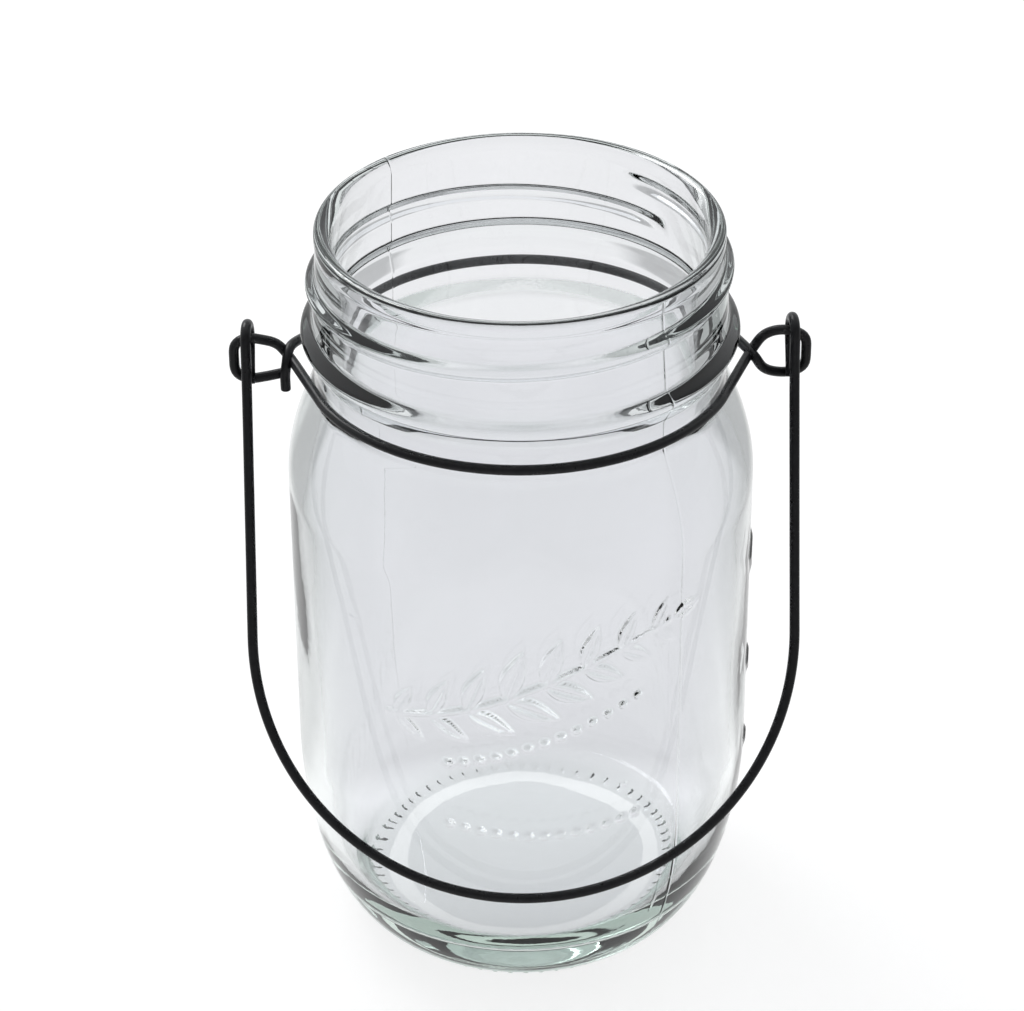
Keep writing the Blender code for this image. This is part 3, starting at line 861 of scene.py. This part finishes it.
def wire_material(name, rub_radius):
    """Black enamel on steel wire, rubbed a little thin where two wires bear on each other."""
    paint = Nodes(name)
    shader = paint.shader
    black = paint.ramp(paint.noise(900.0, detail=4.0), list(zip((0.25, 0.75), ENAMEL_BLACKS)))
    speckle = paint.spread(paint.noise(2600.0, detail=3.0), 0.56, 0.66, 0.0, 1.0)
    near = paint.spread(rubbed(paint), rub_radius * 0.35, rub_radius, 1.0, 0.0)
    worn = paint.product(speckle, near)
    paint.link(paint.mix(worn, black, BARE_STEEL), shader.inputs["Base Color"])
    paint.link(paint.spread(worn, 0.0, 1.0, 0.0, BARE_METALLIC), shader.inputs["Metallic"])
    gloss = paint.spread(paint.noise(340.0, detail=4.0), 0.3, 0.7, *ENAMEL_ROUGHNESS)
    paint.link(gloss, shader.inputs["Roughness"])
    shader.inputs["Specular IOR Level"].default_value = ENAMEL_SPECULAR
    peel = paint.bump(paint.noise(1500.0, detail=2.0), 0.22, 0.06 * MM)
    drawn = paint.bump(paint.noise(260.0, detail=3.0), 0.2, 0.12 * MM, under=peel)
    paint.link(drawn, shader.inputs["Normal"])
    return paint.material


def rubbed(paint):
    """Distance from the place, left or right, where the two wires bear on each other."""
    join = paint.add("ShaderNodeCombineXYZ")
    for part, axis in zip(paint.position_parts(), "XYZ"):
        paint.link(part, join.inputs[axis])
    away = paint.add("ShaderNodeVectorMath", operation="DISTANCE")
    paint.link(join.outputs[0], away.inputs[0])
    away.inputs[1].default_value = (LEG_X, 0.0, PIVOT_Z)
    return away.outputs["Value"]


def floor_material():
    """White studio paper that glows a little, so that shadows on it stay faint; seen through the
    glass its glow is uneven, with painted light and shade.
    """
    paper = Nodes("studio_paper")
    shader = paper.shader
    tone = paper.ramp(paper.noise(600.0, detail=4.0), list(zip((0.3, 0.7), PAPER_TONES)))
    paper.link(tone, shader.inputs["Base Color"])
    shader.inputs["Roughness"].default_value = PAPER_ROUGHNESS
    shader.inputs["Specular IOR Level"].default_value = 0.0
    shader.inputs["Emission Color"].default_value = (1.0, 1.0, 1.0, 1.0)
    # Painted light and shade: the glow that the glass sees is brighter under the jar, darker in a
    # band as a painted shadow of the jar, and fainter in front and to the sides.
    sideways, along, _ = paper.position_parts()
    middle = paper.spread(sideways, *GLOW_HALF_WIDTH, 1.0, GLOW_FAINT)
    stops = paper.ramp(paper.spread(along, *GLOW_Y, 0.0, 1.0), GLOW_AND_SHADE_STOPS)
    glow = paper.add("ShaderNodeMix")
    paper.link(paper.add("ShaderNodeLightPath").outputs["Is Camera Ray"], glow.inputs["Factor"])
    paper.link(paper.product(middle, stops), glow.inputs[MIX_VALUE_A])
    glow.inputs[MIX_VALUE_B].default_value = PAPER_GLOW
    paper.link(glow.outputs[MIX_VALUE_OUT], shader.inputs["Emission Strength"])
    return paper.material


# ================================================================ studio
CAMERA_AIM = Vector((-1.53 * MM, 0.0, 79.5 * MM))
CAMERA_ELEVATION = math.radians(32.41)
CAMERA_YAW = math.radians(-0.85)
CAMERA_ROLL = math.radians(-0.34)
CAMERA_DISTANCE = 604.5 * MM
CAMERA_LENS_MM = 125.45
SENSOR_WIDTH_MM = 36.0
VIEW_FROM, VIEW_TO = 0.01, 20.0

FLOOR_HALF = 2.5

LAMP_PLACE = (-0.45, 0.55, 0.85)
LAMP_AIM = Vector((0, 0, 0.07))
LAMP_SIDE = 0.5
LAMP_POWER = 4.2

BRIGHT_SIDE = (-0.15, 0.82, 0.55)
WORLD_STOPS = ((0.0, 0.55), (0.30, 0.30), (0.48, 0.34), (0.62, 0.62), (0.78, 0.90), (1.0, 0.95))
WORLD_COOLNESS = 0.02


def make_camera():
    data = bpy.data.cameras.new("studio_camera")
    data.lens = CAMERA_LENS_MM
    data.sensor_width = SENSOR_WIDTH_MM
    data.clip_start = VIEW_FROM
    data.clip_end = VIEW_TO
    camera = bpy.data.objects.new("studio_camera", data)
    tilt = Matrix.Rotation(math.pi / 2 - CAMERA_ELEVATION, 4, "X")
    turn = Matrix.Rotation(CAMERA_YAW, 4, "Z")
    roll = Matrix.Rotation(CAMERA_ROLL, 4, "Z")
    back = Matrix.Translation((0, 0, CAMERA_DISTANCE))
    camera.matrix_world = turn @ Matrix.Translation(CAMERA_AIM) @ tilt @ back @ roll
    bpy.context.scene.collection.objects.link(camera)
    bpy.context.scene.camera = camera


def make_floor():
    mesh = bpy.data.meshes.new("studio_floor")
    half = FLOOR_HALF
    corners = [(-half, -half, 0.0), (half, -half, 0.0), (half, half, 0.0), (-half, half, 0.0)]
    mesh.from_pydata(corners, [], [(0, 1, 2, 3)])
    floor = bpy.data.objects.new("studio_floor", mesh)
    mesh.materials.append(floor_material())
    bpy.context.scene.collection.objects.link(floor)


def make_lamp():
    """Square soft box, behind and above, that faces the jar."""
    data = bpy.data.lights.new("key_box", "AREA")
    data.shape = "RECTANGLE"
    data.size = data.size_y = LAMP_SIDE
    data.energy = LAMP_POWER
    lamp = bpy.data.objects.new("key_box", data)
    lamp.location = LAMP_PLACE
    facing = LAMP_AIM - Vector(LAMP_PLACE)
    lamp.rotation_euler = facing.to_track_quat("-Z", "Y").to_euler()
    bpy.context.scene.collection.objects.link(lamp)


def make_world():
    """Pale studio: white where the camera looks past the floor, dimmer in what glass mirrors."""
    world = bpy.data.worlds.new("studio_world")
    world.use_nodes = True
    tree = world.node_tree
    background = tree.nodes["Background"]
    coords = tree.nodes.new("ShaderNodeTexCoord")
    along = tree.nodes.new("ShaderNodeVectorMath")
    along.operation = "DOT_PRODUCT"
    tree.links.new(coords.outputs["Generated"], along.inputs[0])
    along.inputs[1].default_value = BRIGHT_SIDE
    place = tree.nodes.new("ShaderNodeMapRange")
    place.inputs["From Min"].default_value = -1.0
    tree.links.new(along.outputs["Value"], place.inputs["Value"])
    ramp = tree.nodes.new("ShaderNodeValToRGB")
    while len(ramp.color_ramp.elements) < len(WORLD_STOPS):
        ramp.color_ramp.elements.new(0.5)
    for element, (position, grey) in zip(ramp.color_ramp.elements, WORLD_STOPS):
        element.position = position
        element.color = (grey * (1 - WORLD_COOLNESS), grey, grey * (1 + WORLD_COOLNESS), 1.0)
    tree.links.new(place.outputs["Result"], ramp.inputs["Fac"])
    seen = tree.nodes.new("ShaderNodeLightPath")
    mix = tree.nodes.new("ShaderNodeMix")
    mix.data_type = "RGBA"
    tree.links.new(seen.outputs["Is Camera Ray"], mix.inputs["Factor"])
    tree.links.new(ramp.outputs["Color"], mix.inputs[MIX_COLOR_A])
    mix.inputs[MIX_COLOR_B].default_value = (1.0, 1.0, 1.0, 1.0)
    tree.links.new(mix.outputs[MIX_COLOR_OUT], background.inputs["Color"])
    bpy.context.scene.world = world


# ================================================================ assembly
def main():
    make_camera()
    make_world()
    make_floor()
    make_lamp()
    bpy.context.scene.view_settings.view_transform = "Standard"

    jar = build_jar()
    jar.data.materials.append(glass_material())
    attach(jar, "jar")
    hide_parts("glass_jar")

    collar = build_wire("black_collar_wire", collar_route())
    collar.data.materials.append(wire_material("collar_enamel", COLLAR_RUB_RADIUS))
    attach(collar, "collar")
    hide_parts("neck_collar_wire")

    handle = build_wire("black_handle_wire", handle_route())
    handle.data.materials.append(wire_material("handle_enamel", HANDLE_RUB_RADIUS))
    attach(handle, "handle")
    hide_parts("handle_wire")


main()
